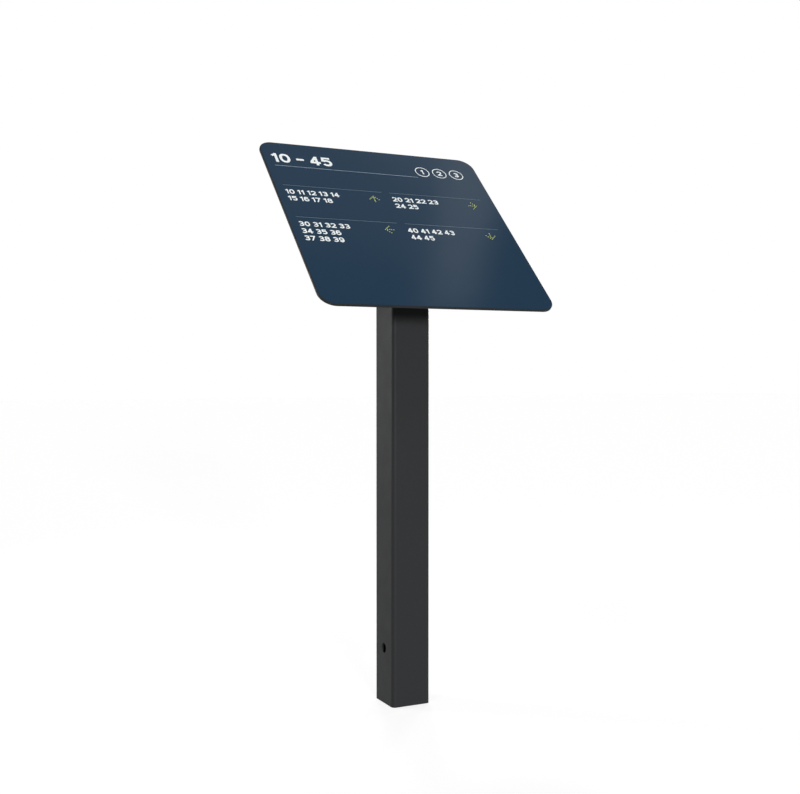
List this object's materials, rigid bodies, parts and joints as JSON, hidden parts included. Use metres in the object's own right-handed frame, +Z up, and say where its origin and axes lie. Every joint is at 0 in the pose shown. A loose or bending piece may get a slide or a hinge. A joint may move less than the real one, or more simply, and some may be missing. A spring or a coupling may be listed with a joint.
{
  "type": "lectern sign",
  "caption": "Lectern sign: a square hollow post with a mitred top carries a flat, round-cornered panel tilted at 45 degrees and fixed from behind on a steel plate.",
  "frame": {"origin": "centre of the post's foot, on the post's axis", "axes": "+Z up along the post, -Y towards the reader (the side the panel faces), +X to the reader's right"},
  "size_m": [0.6, 0.4277, 1.3702],
  "materials": {
    "post_coat": "satin",
    "weld_coat": "satin",
    "plate_coat": "satin",
    "gasket_rubber": "matte",
    "panel_coat": "satin",
    "printed_film": "satin",
    "stud_steel": "satin",
    "washer_steel": "satin",
    "nut_steel": "satin",
    "bush_nylon": "satin",
    "ring_nylon": "satin"
  },
  "bodies": {
    "root": {"post_tube": "post_coat", "head_weld": "weld_coat", "head_plate": "plate_coat", "isolation_gasket": "gasket_rubber", "sign_panel": "panel_coat", "face_film": "printed_film", "panel_stud_lower_left": "stud_steel", "panel_stud_lower_right": "stud_steel", "panel_stud_upper_left": "stud_steel", "panel_stud_upper_right": "stud_steel", "stud_bush_lower_left": "bush_nylon", "stud_bush_lower_right": "bush_nylon", "stud_bush_upper_left": "bush_nylon", "stud_bush_upper_right": "bush_nylon", "stud_washer_lower_left": "washer_steel", "stud_washer_lower_right": "washer_steel", "stud_washer_upper_left": "washer_steel", "stud_washer_upper_right": "washer_steel", "stud_nut_lower_left": "nut_steel", "stud_nut_lower_right": "nut_steel", "stud_nut_upper_left": "nut_steel", "stud_nut_upper_right": "nut_steel", "nut_ring_lower_left": "ring_nylon", "nut_ring_lower_right": "ring_nylon", "nut_ring_upper_left": "ring_nylon", "nut_ring_upper_right": "ring_nylon"}
  },
  "joints": []
}
